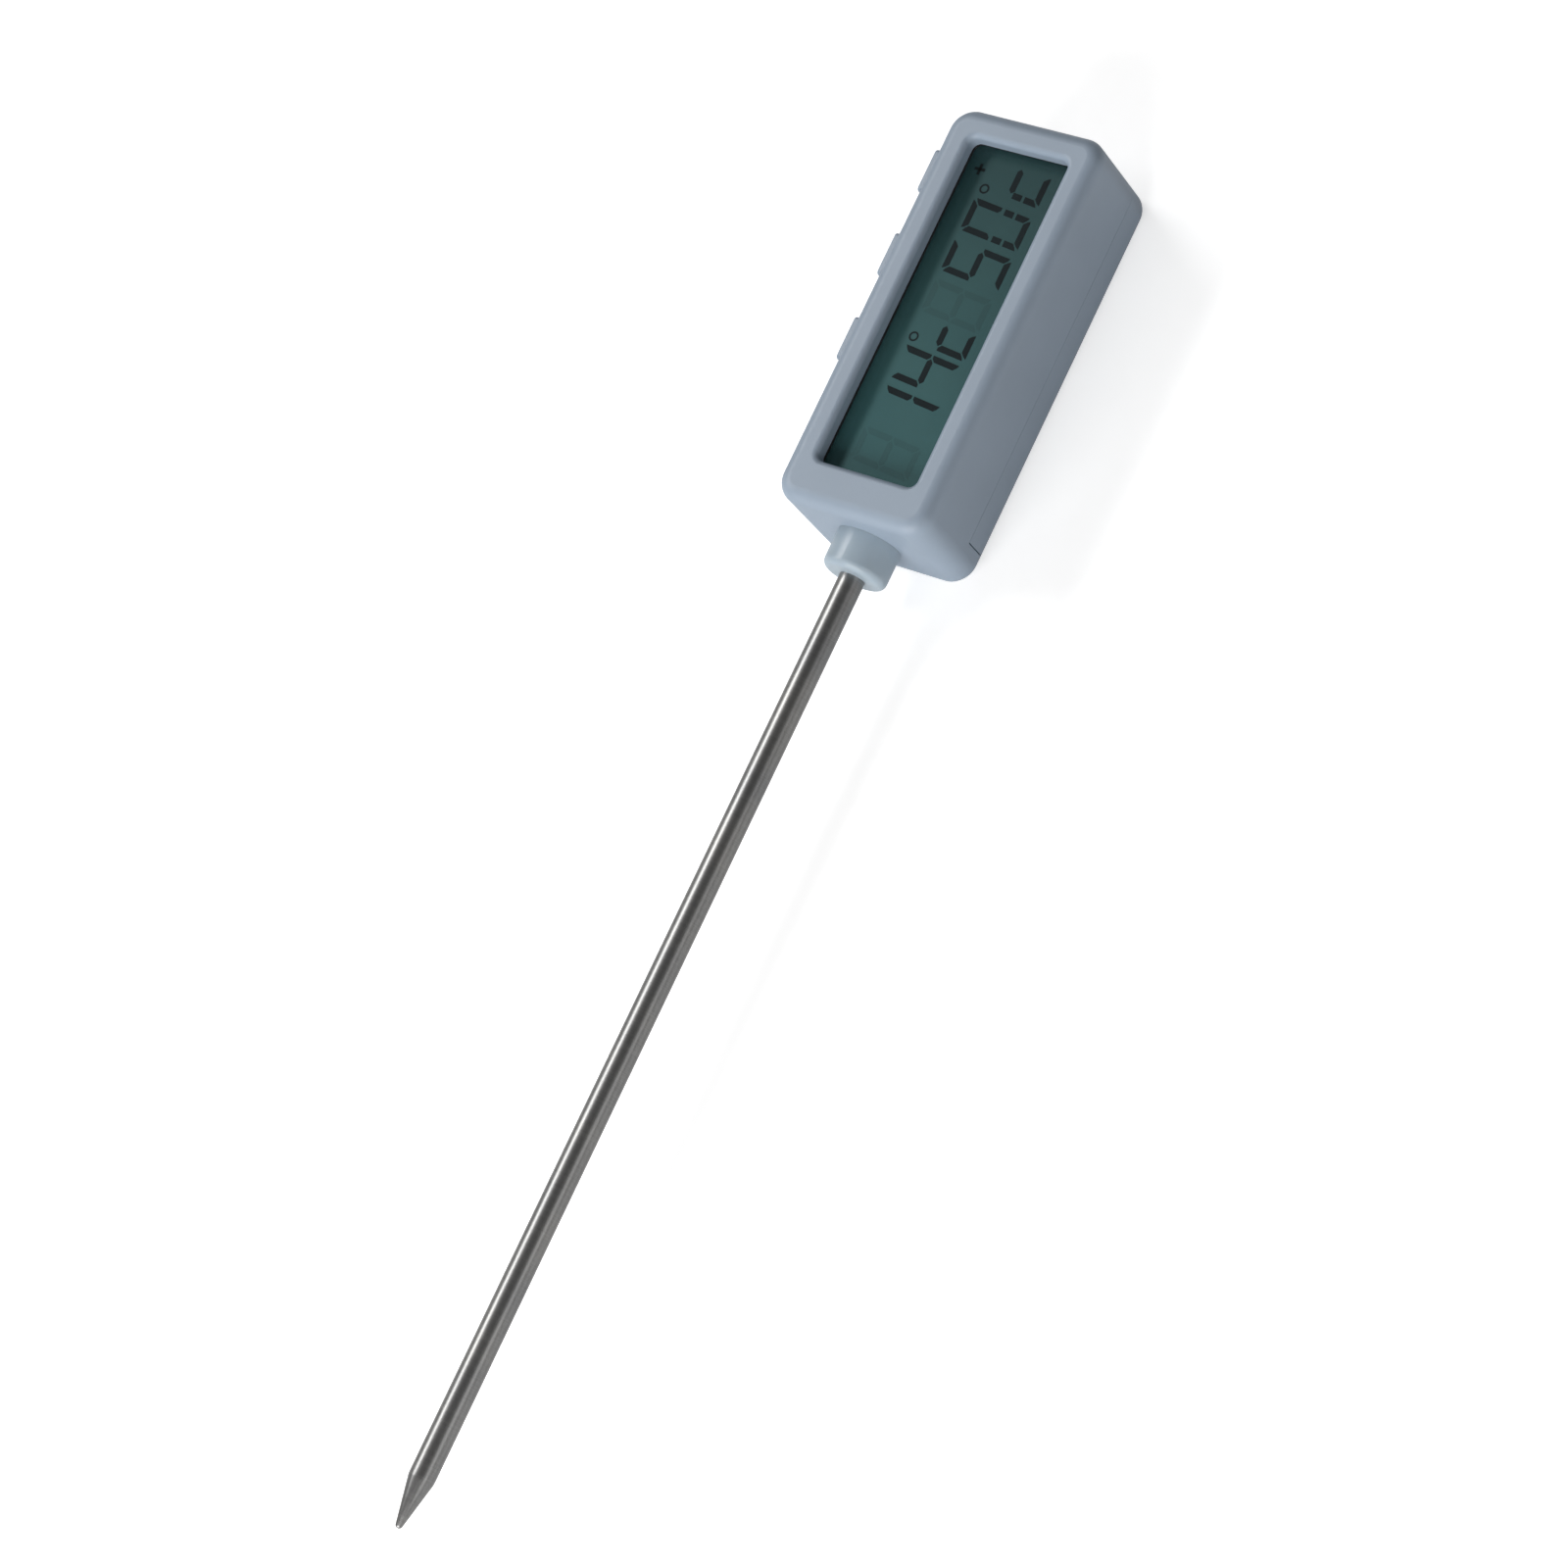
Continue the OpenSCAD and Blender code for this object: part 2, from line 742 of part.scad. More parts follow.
// One insulated lead: from the bead along the stem, then up to the board
module probe_lead(y) {
    rod_x(bead_x + bead_l, lead_x1, lead_d, y, stem_z);
    translate([lead_x1, y, stem_z]) sphere(d = lead_d);
    translate([lead_x1, y, stem_z]) cylinder(h = board_z - stem_z, d = lead_d);
}

module probe_lead_a() {
    color("#b4312c") probe_lead(lead_y);
}

module probe_lead_b() {
    color("#e4e4e4") probe_lead(-lead_y);
}

front_housing();
display_window();
window_gasket();
display_polariser();
display_front_glass();
display_rear_glass();
display_reflector();
display_frame();
zebra_strip();
circuit_board();
chip_blob();
crystal();
chip_parts();
button_switches();
power_button();
mode_button();
unit_button();
power_plunger();
mode_plunger();
unit_plunger();
battery_tray();
chassis_screws();
battery_cell();
battery_sleeve();
battery_spring();
battery_contact_minus();
battery_contact_plus();
battery_door();
stem_collar();
stem_gasket();
stem_retainer();
stem_tube();
thermistor_bead();
tip_filler();
probe_lead_a();
probe_lead_b();
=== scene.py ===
# %% [markdown]
# # A digital soil thermometer, piece by piece
# The thermometer lies on its flat back. +X runs along the steel stem towards the far end of
# the head, +Y is the side with the three buttons and +Z leaves the display. The packed
# engineering model is loaded first. It stays where it is, and everything below gives it
# finishes or lays finer meshes over it. All lengths in Blender are metres.

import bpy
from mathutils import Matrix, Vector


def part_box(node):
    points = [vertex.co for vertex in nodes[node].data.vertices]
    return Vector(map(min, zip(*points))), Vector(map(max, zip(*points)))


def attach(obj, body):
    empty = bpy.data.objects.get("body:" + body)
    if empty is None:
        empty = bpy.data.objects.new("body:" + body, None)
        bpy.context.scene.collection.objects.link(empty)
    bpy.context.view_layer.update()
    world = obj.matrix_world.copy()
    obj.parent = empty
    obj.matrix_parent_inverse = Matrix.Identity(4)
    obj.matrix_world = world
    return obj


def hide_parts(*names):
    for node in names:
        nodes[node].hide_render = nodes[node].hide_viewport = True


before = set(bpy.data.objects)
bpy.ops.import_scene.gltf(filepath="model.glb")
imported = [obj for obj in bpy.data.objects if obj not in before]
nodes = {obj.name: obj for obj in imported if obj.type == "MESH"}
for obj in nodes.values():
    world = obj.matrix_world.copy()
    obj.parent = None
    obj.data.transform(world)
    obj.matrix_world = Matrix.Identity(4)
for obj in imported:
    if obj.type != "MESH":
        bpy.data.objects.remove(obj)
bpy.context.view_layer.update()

# %% [markdown]
# The head's box places the buttons and the reading, so it is measured at the start. The
# sizes of the real object read best in millimetres, and MM turns them into Blender's metres.

# %% Imports and units
import math

import bmesh
import bpy
from mathutils import Matrix, Vector

MM = 0.001
head_low, head_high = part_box("front_housing")
print("head in mm:", [round(v / MM, 1) for v in head_high - head_low])

# %% [markdown]
# ## The camera
# The object is seen from above, from its stem end, and the camera is turned about its own
# axis so that the stem runs down to the left. A look-at constraint could aim it, but it
# can't hold that turn. So the camera's three axes are worked out from an azimuth, an
# elevation and a roll, and a long lens keeps the perspective mild.

# %% Camera
CAMERA_AZIMUTH = math.radians(-20.18)
CAMERA_ELEVATION = math.radians(56.54)
CAMERA_ROLL = math.radians(-47.43)
CAMERA_DISTANCE = 0.7539
CAMERA_LENS = 119.96
SENSOR_WIDTH = 36
NEAREST = 10 * MM
AIM = Vector((-71.4, -4.5, 9.3)) * MM


def add_camera():
    back = Vector((
        math.sin(CAMERA_AZIMUTH) * math.cos(CAMERA_ELEVATION),
        -math.cos(CAMERA_AZIMUTH) * math.cos(CAMERA_ELEVATION),
        math.sin(CAMERA_ELEVATION),
    ))
    level_right = Vector((0, 0, 1)).cross(back).normalized()
    level_up = back.cross(level_right)
    right = level_right * math.cos(CAMERA_ROLL) + level_up * math.sin(CAMERA_ROLL)
    up = level_up * math.cos(CAMERA_ROLL) - level_right * math.sin(CAMERA_ROLL)
    data = bpy.data.cameras.new("camera")
    data.lens = CAMERA_LENS
    data.sensor_width = SENSOR_WIDTH
    data.clip_start = NEAREST
    camera = bpy.data.objects.new("camera", data)
    bpy.context.scene.collection.objects.link(camera)
    turn = Matrix((right, up, back)).transposed().to_4x4()
    camera.matrix_world = Matrix.Translation(AIM + back * CAMERA_DISTANCE) @ turn
    bpy.context.scene.camera = camera
    return camera


camera = add_camera()
print("camera at", [round(v, 3) for v in camera.matrix_world.translation])

# %% [markdown]
# ## Helpers for meshes
# Most pieces of a moulded gadget are either turned, like the stem, or lofted, like a button:
# a stack of outlines with the same number of points, joined ring by ring. One helper makes a
# rounded outline, one skins a stack of rings and one turns a profile about the stem's axis.
# They give clean quads whose edges can be rounded exactly where a real mould rounds them.

# %% Mesh helpers
def rounded_outline(x0, x1, y0, y1, radius, steps=8):
    """Anticlockwise points of a rounded rectangle."""
    corners = [
        (x1 - radius, y1 - radius, 0),
        (x0 + radius, y1 - radius, 90),
        (x0 + radius, y0 + radius, 180),
        (x1 - radius, y0 + radius, 270),
    ]
    points = []
    for cx, cy, start in corners:
        for i in range(steps + 1):
            a = math.radians(start + 90 * i / steps)
            points.append((cx + radius * math.cos(a), cy + radius * math.sin(a)))
    return points


def skin(mesh, rings, first=True, last=True):
    """Adds a stack of closed rings to a bmesh, with its end caps where asked."""
    loops = [[mesh.verts.new(p) for p in ring] for ring in rings]
    for low, high in zip(loops, loops[1:]):
        for i in range(len(low)):
            j = (i + 1) % len(low)
            mesh.faces.new((low[i], low[j], high[j], high[i]))
    if first:
        mesh.faces.new(list(reversed(loops[0])))
    if last:
        mesh.faces.new(loops[-1])


def finish_mesh(name, mesh, material, body, sharp=35):
    """Turns a bmesh into an object that rides on a body."""
    bmesh.ops.recalc_face_normals(mesh, faces=mesh.faces)
    data = bpy.data.meshes.new(name)
    mesh.to_mesh(data)
    mesh.free()
    data.materials.append(material)
    data.shade_smooth()
    data.set_sharp_from_angle(angle=math.radians(sharp))
    piece = bpy.data.objects.new(name, data)
    bpy.context.scene.collection.objects.link(piece)
    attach(piece, body)
    return piece


def turned(name, profile, centre, material, body, sides=96, sharp=35):
    """A turned piece about an axis along X: profile holds (x, radius) pairs."""
    mesh = bmesh.new()
    rings = []
    for x, r in profile:
        rings.append([
            (x, centre.y + r * math.cos(a), centre.z + r * math.sin(a))
            for a in (2 * math.pi * i / sides for i in range(sides))
        ])
    skin(mesh, rings)
    return finish_mesh(name, mesh, material, body, sharp)


print("mesh helpers ready")

# %% [markdown]
# ## Helpers for finishes
# A finish is a small node tree. No real surface is one flat colour, so every finish here
# gets a little unevenness. Most get three kinds: a slow drift of tone across the piece, a
# fine grain that a bump node turns into tiny slopes, and a roughness that changes with it.
# The texture coordinates are object coordinates, which are metres on this model, so a scale
# of 1000 means one feature per millimetre.

# %% Finish helpers
# Most of a noise's values lie between these two
SPREAD_FROM = 0.3
SPREAD_TO = 0.7
ROUGHNESS_DRIFT = 0.08
DRIFT_SCALE = 60


def new_finish(name):
    """An empty finish with its node tree and its shader."""
    material = bpy.data.materials.new(name)
    material.use_nodes = True
    tree = material.node_tree
    shader = tree.nodes["Principled BSDF"]
    return material, tree, shader


def object_noise(tree, scale, detail=3, stretch=(1, 1, 1)):
    """A noise whose features are 1/scale metres, stretched along the object's axes."""
    where = tree.nodes.new("ShaderNodeTexCoord")
    mapping = tree.nodes.new("ShaderNodeMapping")
    mapping.inputs["Scale"].default_value = stretch
    noise = tree.nodes.new("ShaderNodeTexNoise")
    noise.inputs["Scale"].default_value = scale
    noise.inputs["Detail"].default_value = detail
    tree.links.new(where.outputs["Object"], mapping.inputs["Vector"])
    tree.links.new(mapping.outputs["Vector"], noise.inputs["Vector"])
    return noise.outputs["Fac"]


def tone(tree, fac, dark, light, low=0.35, high=0.65):
    """A colour that drifts between two tones."""
    ramp = tree.nodes.new("ShaderNodeValToRGB")
    ramp.color_ramp.elements[0].position = low
    ramp.color_ramp.elements[0].color = (*dark, 1)
    ramp.color_ramp.elements[1].position = high
    ramp.color_ramp.elements[1].color = (*light, 1)
    tree.links.new(fac, ramp.inputs["Fac"])
    return ramp.outputs["Color"]


def spread(tree, fac, low, high):
    """A number that drifts between two values."""
    remap = tree.nodes.new("ShaderNodeMapRange")
    remap.inputs["From Min"].default_value = SPREAD_FROM
    remap.inputs["From Max"].default_value = SPREAD_TO
    remap.inputs["To Min"].default_value = low
    remap.inputs["To Max"].default_value = high
    tree.links.new(fac, remap.inputs["Value"])
    return remap.outputs["Result"]


def bump(tree, shader, height, distance, strength=0.3):
    """Tiny slopes from a height, distance in metres."""
    node = tree.nodes.new("ShaderNodeBump")
    node.inputs["Strength"].default_value = strength
    node.inputs["Distance"].default_value = distance
    tree.links.new(height, node.inputs["Height"])
    tree.links.new(node.outputs["Normal"], shader.inputs["Normal"])


def plain_finish(name, colour, roughness, grain=4000, depth=0.00001, metallic=0.0,
                 variation=0.06, strength=0.25):
    """A finish with a drift of tone, a drift of roughness and a fine grain."""
    material, tree, shader = new_finish(name)
    dark = tuple(c * (1 - variation) for c in colour)
    light = tuple(min(1, c * (1 + variation)) for c in colour)
    drift = object_noise(tree, DRIFT_SCALE)
    tree.links.new(tone(tree, drift, dark, light), shader.inputs["Base Color"])
    fine = object_noise(tree, grain, detail=2)
    smooth, rough = roughness * (1 - ROUGHNESS_DRIFT), roughness * (1 + ROUGHNESS_DRIFT)
    tree.links.new(spread(tree, fine, smooth, rough), shader.inputs["Roughness"])
    bump(tree, shader, fine, depth, strength)
    shader.inputs["Metallic"].default_value = metallic
    return material


def paint(node, material):
    """Gives a carried-over node its finish."""
    data = nodes[node].data
    data.materials.clear()
    data.materials.append(material)


print("finish helpers ready")

# %% [markdown]
# ## The head's plastic
# The head is moulded in a pale blue-grey ABS with a fine satin texture from the mould. It
# could be sculpted with a displacement map, but the grain is finer than a hair, so a bump is
# enough. The housing and the battery door come from one material, so they share one finish.

# %% Head plastic
HEAD_COLOUR = (0.30, 0.365, 0.445)
ABS_IOR = 1.53
head_plastic = plain_finish("head_plastic", HEAD_COLOUR, 0.46, grain=3500, variation=0.025)
head_plastic.node_tree.nodes["Principled BSDF"].inputs["IOR"].default_value = ABS_IOR
for node in ("front_housing", "battery_door"):
    paint(node, head_plastic)
print("head plastic on 2 nodes")

# %% [markdown]
# ## The buttons
# Each button is a small cap that slides in a hole of the side wall, with a flange inside
# that keeps it from falling out and a pin that reaches its switch. A cube with a bevel
# modifier would do for the cap. A loft is used instead, because it rounds the cap's four
# corners and its outer rim separately and gives the top a slight crown for the finger.

# %% Button plastic and sizes
BUTTON_COLOUR = tuple(c * 0.97 for c in HEAD_COLOUR)
button_plastic = plain_finish("button_plastic", BUTTON_COLOUR, 0.42, grain=3000,
                              variation=0.02)
FLANGE_REACH = 0.9 * MM
FLANGE_HEIGHT = 6.4 * MM
FLANGE_HEIGHT_REACH = 0.5 * MM
FLANGE_THICKNESS = 0.55 * MM
# How deep the flange's outer face lies below the outside of the head
FLANGE_DEPTH = 1.85 * MM
# How far the cap reaches into its flange
CAP_BITE = 0.1 * MM
CAP_CORNER = 0.6 * MM
CAP_RIM = 0.22 * MM
CAP_CROWN = 0.05 * MM
CROWN_REACH = 1.6 * MM
CROWN_CORNER = 0.25 * MM
CROWN_SHARES = (0.5, 0.9)
PIN_RADIUS = 1.1 * MM
PIN_SIDES = 24
RIM_STEPS = 6
print("button finish:", button_plastic.name)

# %% Button shape
def xz_ring(outline, y):
    return [(x, y, z) for x, z in outline]


def add_button(node):
    low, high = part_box(node)
    wall = head_high.y - FLANGE_DEPTH
    x0, x1 = low.x + FLANGE_REACH, high.x - FLANGE_REACH
    z0, z1 = high.z - FLANGE_HEIGHT + FLANGE_HEIGHT_REACH, high.z - FLANGE_HEIGHT_REACH
    mesh = bmesh.new()
    rings = [xz_ring(rounded_outline(x0, x1, z0, z1, CAP_CORNER), wall - CAP_BITE)]
    for i in range(RIM_STEPS + 1):
        a = math.radians(90 * i / RIM_STEPS)
        inset = CAP_RIM * (1 - math.cos(a))
        y = high.y - CAP_CROWN - CAP_RIM * (1 - math.sin(a))
        outline = rounded_outline(x0 + inset, x1 - inset, z0 + inset, z1 - inset,
                                  CAP_CORNER - inset)
        rings.append(xz_ring(outline, y))
    for share in CROWN_SHARES:
        inset = CAP_RIM + share * CROWN_REACH
        outline = rounded_outline(x0 + inset, x1 - inset, z0 + inset, z1 - inset,
                                  CROWN_CORNER)
        rings.append(xz_ring(outline, high.y - CAP_CROWN * (1 - share)))
    skin(mesh, rings)
    flange = rounded_outline(low.x, high.x, z0 - FLANGE_HEIGHT_REACH,
                             z1 + FLANGE_HEIGHT_REACH, CAP_CORNER)
    skin(mesh, [xz_ring(flange, wall - FLANGE_THICKNESS), xz_ring(flange, wall)])
    pin_z = low.z + PIN_RADIUS
    middle = (low.x + high.x) / 2
    pin = [(middle + PIN_RADIUS * math.cos(a), pin_z + PIN_RADIUS * math.sin(a))
           for a in (2 * math.pi * i / PIN_SIDES for i in range(PIN_SIDES))]
    skin(mesh, [xz_ring(pin, low.y), xz_ring(pin, wall - FLANGE_THICKNESS / 2)])
    piece = finish_mesh(node + "_cap", mesh, button_plastic, node)
    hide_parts(node)
    return piece


for node in ("power_button", "mode_button", "unit_button"):
    add_button(node)

# %% [markdown]
# ## The steel stem
# The stem is a ground stainless tube, drawn to a blunt cone at its tip. Grinding leaves
# fine rings round it, which stretch each highlight along the tube. The rings are a noise
# squeezed thin along X, and it drives the bump, the roughness and a slight change of tone.

# %% Ground steel
STEEL_DARK = (0.29, 0.29, 0.29)
STEEL_WARM = (0.34, 0.335, 0.325)
RING_DARK = (0.86, 0.86, 0.86)
RING_LIGHT = (1.0, 1.0, 1.0)
STEEL_SMOOTHEST = 0.35
STEEL_ROUGHEST = 0.41


def ground_steel():
    """Grey steel with fine ground rings about X."""
    material, tree, shader = new_finish("ground_steel")
    rings = object_noise(tree, scale=60, detail=4, stretch=(180, 1, 1))
    drift = object_noise(tree, scale=90, detail=3)
    warm = tone(tree, drift, STEEL_DARK, STEEL_WARM)
    grey = tone(tree, rings, RING_DARK, RING_LIGHT)
    product = tree.nodes.new("ShaderNodeVectorMath")
    product.operation = "MULTIPLY"
    tree.links.new(warm, product.inputs[0])
    tree.links.new(grey, product.inputs[1])
    tree.links.new(product.outputs["Vector"], shader.inputs["Base Color"])
    tree.links.new(spread(tree, rings, STEEL_SMOOTHEST, STEEL_ROUGHEST),
                   shader.inputs["Roughness"])
    shader.inputs["Metallic"].default_value = 1.0
    bump(tree, shader, rings, distance=0.000002, strength=0.15)
    return material


steel = ground_steel()
print("finish:", steel.name)

# %% [markdown]
# The stem runs from a thinner end inside the collar, over a small shoulder, along the free
# tube and down the cone to the blunt tip. A cylinder joined to a cone would leave a hard
# edge between them. In a turned profile a short curve eases the tube into the cone, and the
# tip's rounding is a true arc.

# %% Stem shape
TIP_LENGTH = 7.8 * MM
TIP_RADIUS = 0.55 * MM
# Where the tip's arc takes over from the cone's side, in degrees
TIP_START = 12
TIP_POINT = 0.02 * MM
TIP_STEPS = 6
SHOULDER = 0.2 * MM
SHOULDER_EASE = 0.02 * MM
CONE_EASE = 0.4 * MM
CONE_DROP = 0.05 * MM
CONE_STEPS = 4
TUBE_RINGS = 12


def stem_profile():
    """The stem's (x, radius) pairs from the head to the tip, and the stem's axis."""
    low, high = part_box("stem_tube")
    radius = (high.y - low.y) / 2
    centre = Vector((0, 0, (low.z + high.z) / 2))
    collar_low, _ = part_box("stem_collar")
    cone = low.x + TIP_LENGTH
    grip = radius - SHOULDER
    profile = [(high.x, grip), (collar_low.x + SHOULDER_EASE, grip), (collar_low.x, radius)]
    profile += [(collar_low.x + (cone + CONE_EASE - collar_low.x) * i / TUBE_RINGS, radius)
                for i in range(1, TUBE_RINGS + 1)]
    for i in range(1, CONE_STEPS + 1):
        t = i / CONE_STEPS
        profile.append((cone + CONE_EASE * (1 - 2 * t), radius - CONE_DROP * t * t))
    tip_centre = low.x + TIP_RADIUS
    for i in range(TIP_STEPS + 1):
        a = math.radians(TIP_START + (90 - TIP_START) * i / TIP_STEPS)
        profile.append((tip_centre - TIP_RADIUS * math.sin(a), TIP_RADIUS * math.cos(a)))
    profile[-1] = (low.x, TIP_POINT)
    return profile, centre


profile, stem_axis = stem_profile()
stem = turned("probe_stem", profile, stem_axis, steel, "head", sides=96, sharp=50)
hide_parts("stem_tube")
print("stem rings:", len(profile))

# %% [markdown]
# ## The collar
# A plastic collar grips the stem where it enters the head. Its plastic is a little milky:
# light enters it and comes out again nearby. Subsurface scattering over about a
# millimetre gives that softness. The collar could be turned like the stem, but the
# engineering model already has its rounded rim, so the node keeps its shape and only gets
# this finish.

# %% Milky collar
COLLAR_COLOUR = (0.37, 0.445, 0.505)
MILKINESS = 0.35
SCATTER_DEPTH = 1.2 * MM
SCATTER_SHARES = (0.9, 1.0, 1.15)
collar_plastic = plain_finish("collar_plastic", COLLAR_COLOUR, 0.34, grain=3000,
                              variation=0.03)
collar_shader = collar_plastic.node_tree.nodes["Principled BSDF"]
collar_shader.inputs["Subsurface Weight"].default_value = MILKINESS
collar_shader.inputs["Subsurface Radius"].default_value = SCATTER_SHARES
collar_shader.inputs["Subsurface Scale"].default_value = SCATTER_DEPTH
paint("stem_collar", collar_plastic)
print("collar painted")

# %% [markdown]
# ## The display
# Behind a clear window lies a liquid crystal display: a satin polarising film that looks
# dark teal, with almost black segments. The segments could be an image, but drawn as thin
# meshes they stay sharp at any distance. Each digit is built from the seven classic bars,
# mitred where they meet, and the reading is two temperatures side by side.

# %% Display films
FILM_DARK = (0.025, 0.075, 0.078)
FILM_LIGHT = (0.031, 0.085, 0.086)
# Painted light and shade on the film: its teal is scaled up at the stem end and down at the far
# end
FILM_PAINTED_LIGHT_AT_STEM_END = 1.85
FILM_PAINTED_SHADE_AT_FAR_END = 0.75
# The ghosts' share of the film's tone
GHOST_SHARE = 0.86


def film_finish(name, share):
    """Teal film, painted lighter towards the stem end and darker towards the far end: painted
    light and painted shade.
    """
    material, tree, shader = new_finish(name)
    teal = tone(tree, object_noise(tree, scale=45), FILM_DARK, FILM_LIGHT)
    place = tree.nodes.new("ShaderNodeTexCoord")
    along = tree.nodes.new("ShaderNodeSeparateXYZ")
    # Painted shade along X, from painted light at the stem end to painted shade at the far end
    painted_shade_ramp = tree.nodes.new("ShaderNodeMapRange")
    film_low, film_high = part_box("display_polariser")
    painted_shade_ramp.inputs["From Min"].default_value = film_low.x
    painted_shade_ramp.inputs["From Max"].default_value = film_high.x
    painted_shade_ramp.inputs["To Min"].default_value = FILM_PAINTED_LIGHT_AT_STEM_END * share
    painted_shade_ramp.inputs["To Max"].default_value = FILM_PAINTED_SHADE_AT_FAR_END * share
    painted_shade_teal = tree.nodes.new("ShaderNodeVectorMath")
    painted_shade_teal.operation = "SCALE"
    tree.links.new(place.outputs["Object"], along.inputs["Vector"])
    tree.links.new(along.outputs["X"], painted_shade_ramp.inputs["Value"])
    tree.links.new(teal, painted_shade_teal.inputs["Vector"])
    tree.links.new(painted_shade_ramp.outputs["Result"], painted_shade_teal.inputs["Scale"])
    tree.links.new(painted_shade_teal.outputs["Vector"], shader.inputs["Base Color"])
    shader.inputs["Roughness"].default_value = 0.45
    shader.inputs["Specular IOR Level"].default_value = 0.1
    grain = object_noise(tree, scale=6000, detail=2)
    bump(tree, shader, grain, distance=0.000004, strength=0.2)
    return material


film = film_finish("display_film", 1.0)
ghost_film = film_finish("ghost_film", GHOST_SHARE)
paint("display_polariser", film)
print("films:", film.name, "and", ghost_film.name)

# %% [markdown]
# The window is a clear sheet, so its shader is almost fully transparent. A glass shader would
# also do, but it needs more light paths and turns grainy over the dark film. What is left
# here is a thin mirror-like veil, the gloss of a smooth sheet, which doesn't grey the film.

# %% Window
VEIL_DARK = (0.72, 0.76, 0.78)
VEIL_LIGHT = (0.80, 0.84, 0.86)
VEIL = 0.02
clear, clear_tree, clear_shader = new_finish("clear_window")
haze = object_noise(clear_tree, scale=120, detail=3)
clear_tree.links.new(tone(clear_tree, haze, VEIL_DARK, VEIL_LIGHT),
                     clear_shader.inputs["Base Color"])
clear_shader.inputs["Roughness"].default_value = 0.06
clear_shader.inputs["Metallic"].default_value = 1.0
clear_shader.inputs["Alpha"].default_value = VEIL
paint("display_window", clear)
print("window:", clear.name)

# %% [markdown]
# A bar that is on blocks almost all light, so it is nearly black. It lies under the polished
# window and has hardly any shine of its own, so its specular level is set low.

# %% Segment finish
INK_COLOUR = (0.008, 0.015, 0.017)
segment_ink = plain_finish("segment_ink", INK_COLOUR, 0.6, variation=0.2)
ink_shader = segment_ink.node_tree.nodes["Principled BSDF"]
ink_shader.inputs["Specular IOR Level"].default_value = 0.08
print("segments:", segment_ink.name)

# %% [markdown]
# A seven-bar digit is a frame of six bars with one across its middle. Stretched copies of
# one bar would overlap at the corners. So each bar's six points are worked out from its two
# ends, its outer side runs on towards the corner, and a thin gap is left at each mitre.

# %% Seven-bar digits
BAR = 1.0 * MM
DIGIT_HALF_WIDTH = 2.25 * MM
DIGIT_HALF_HEIGHT = 4.8 * MM
SLANT = 0.11
BAR_GAP = 0.18 * MM
FILM_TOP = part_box("display_polariser")[1].z
INK_THICKNESS = 0.03 * MM
# How far an outer side runs on past a corner, in half widths
CORNER_REACH = 0.55
# Each bar runs clockwise round the digit, so its outer side is on its left.
BARS = {
    "a": ((-1, 1), (1, 1)), "b": ((1, 1), (1, 0)), "c": ((1, 0), (1, -1)),
    "d": ((1, -1), (-1, -1)), "e": ((-1, -1), (-1, 0)), "f": ((-1, 0), (-1, 1)),
    "g": ((-1, 0), (1, 0)),
}
# The bars that are cut in two in the last two signs, in shares of their length
SPLITS = {"c": ((0.06, 0.47), (0.5, 1)), "e": ((0, 0.5), (0.53, 0.94))}
DIGITS = {"0": "abcdef", "1": "bc", "4": "bcfg", "5": "acdfg", "8": "abcdefg", "c": "deg"}


def end_reach(bar, point, cut):
    """How far the left side, middle and right side run past a bar's end, in half widths."""
    if cut:
        return 0, 0, 0
    if bar == "g":
        return -1, 0, -1
    if point[1] == 0:
        return 0, 0, -1
    return CORNER_REACH, 0, -1


def bar_outline(bar, half_width, part=(0, 1)):
    """Six points of a bar, or of part of its length, with mitred ends."""
    start, end = BARS[bar]
    sx, sy = start[0] * half_width, start[1] * DIGIT_HALF_HEIGHT
    ex, ey = end[0] * half_width, end[1] * DIGIT_HALF_HEIGHT
    length = math.hypot(ex - sx, ey - sy)
    ux, uy = (ex - sx) / length, (ey - sy) / length
    h = BAR / 2
    first, last = length * part[0] + BAR_GAP, length * part[1] - BAR_GAP
    left, middle, right = end_reach(bar, end, part[1] < 1)
    along = [(last + left * h, h), (last + middle * h, 0), (last + right * h, -h)]
    left, middle, right = end_reach(bar, start, part[0] > 0)
    along += [(first - right * h, -h), (first - middle * h, 0), (first - left * h, h)]
    points = []
    for s, w in along:
        x, y = sx + ux * s - uy * w, sy + uy * s + ux * w
        points.append((x + SLANT * y, y))
    return points


def prism(mesh, points, x, y, height=INK_THICKNESS):
    """Adds an outline to a bmesh as a thin slab on the film, moved by x and y."""
    rings = [[(x + px, y + py, z) for px, py in points]
             for z in (FILM_TOP, FILM_TOP + height)]
    skin(mesh, rings)


print("bar length in mm:", round(2 * DIGIT_HALF_WIDTH / MM, 1))

# %% [markdown]
# The display shows 14 and 50 degrees, with a small ring and a letter c after each, and a
# small cross in the far corner. The letters are narrower than the digits.

# %% The reading
HEAD_END = head_low.x
# A sign, its middle from the head's stem end and its half width in mm, and whether it is cut
READING = [("1", 18.5, 2.25, False), ("4", 25.35, 2.25, False), ("c", 31.3, 1.85, False),
           ("5", 43.3, 2.25, False), ("0", 50.15, 2.25, True), ("c", 57.45, 2.2, True)]
DEGREE_MARKS = [(30.1, 4.45), (55.1, 4.5)]
RING_INNER = 0.52
RING_OUTER = 0.8
RING_SIDES = 24
CROSS_PLACE = (57.9, 6.7)
CROSS_ARM = 0.9
CROSS_HALF_WIDTH = 0.24


